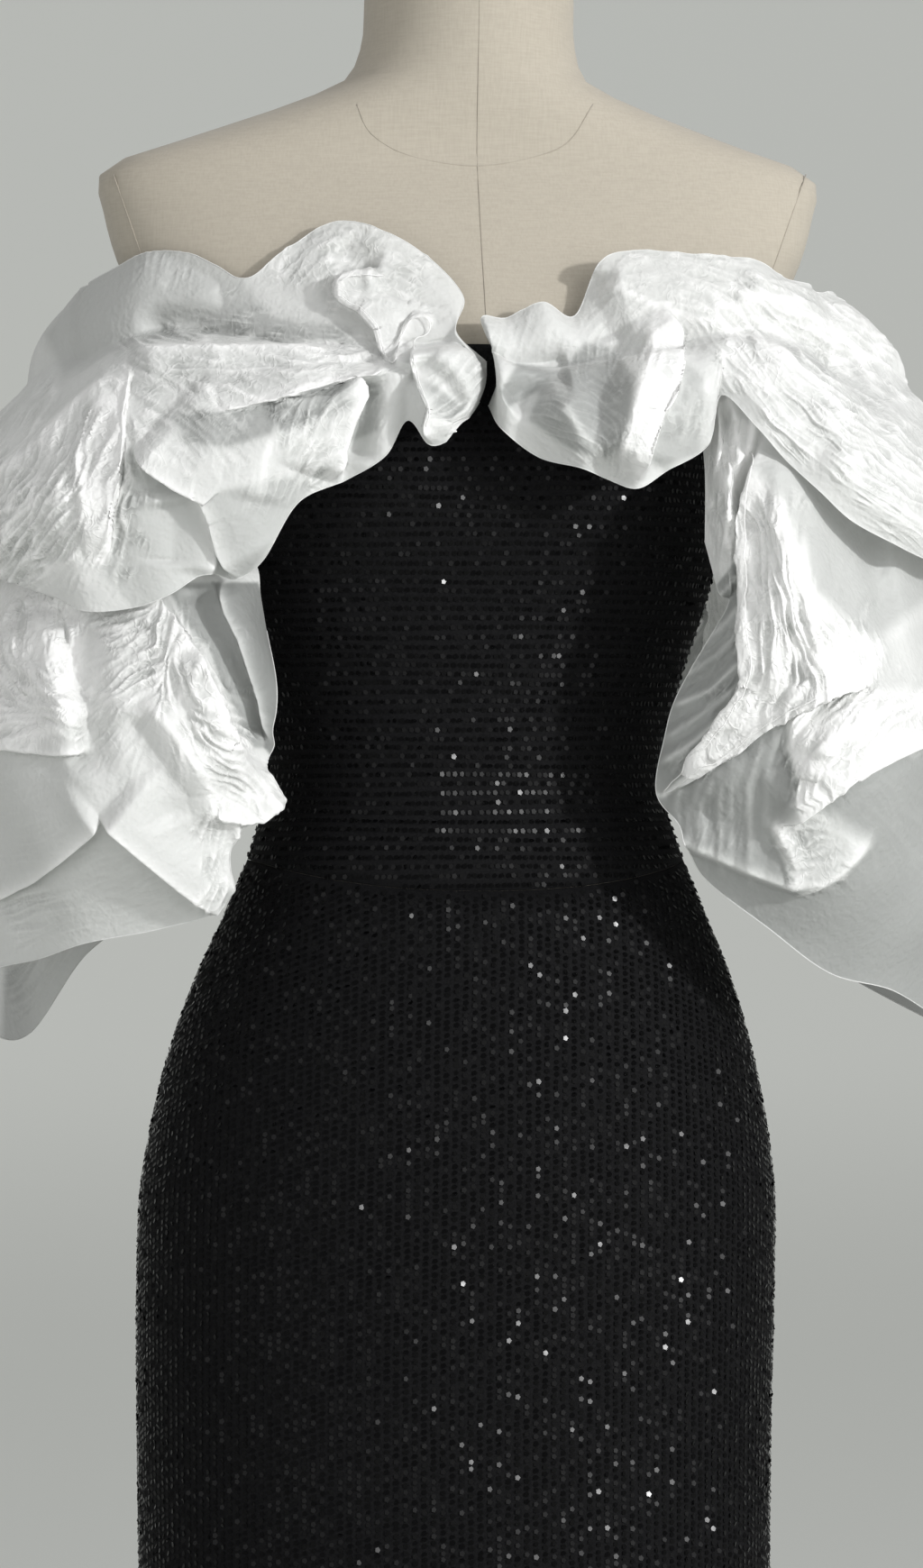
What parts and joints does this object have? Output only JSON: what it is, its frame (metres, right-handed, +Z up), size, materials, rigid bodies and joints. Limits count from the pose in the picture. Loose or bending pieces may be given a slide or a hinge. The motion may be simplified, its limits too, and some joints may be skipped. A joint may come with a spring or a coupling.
{
  "type": "strapless maxi dress on a limbless dress form",
  "caption": "Floor-length black sequinned strapless column dress with off-shoulder white organza ruffle sleeves, on a limbless linen dress form with a round base.",
  "frame": {"origin": "centre of the stand's base on the floor, under the pole", "axes": "+Z up, the front faces -Y, the wearer's left is +X"},
  "size_m": [0.5739, 0.3639, 1.53],
  "materials": {
    "sequins": "black mesh covered in small glossy sequins",
    "organza": "crisp crinkled white organza with a soft sheen",
    "linen": "matt woven linen cover",
    "steel": "satin black"
  },
  "bodies": {
    "root": {"form_torso": "linen", "form_pole": "steel", "form_base": "steel", "bodice_front": "sequins", "bodice_back": "sequins", "skirt_front": "sequins", "skirt_back": "sequins", "right_sleeve_ruffle": "organza", "right_sleeve_flounce": "organza", "left_sleeve_ruffle": "organza", "left_sleeve_flounce": "organza"}
  },
  "joints": []
}
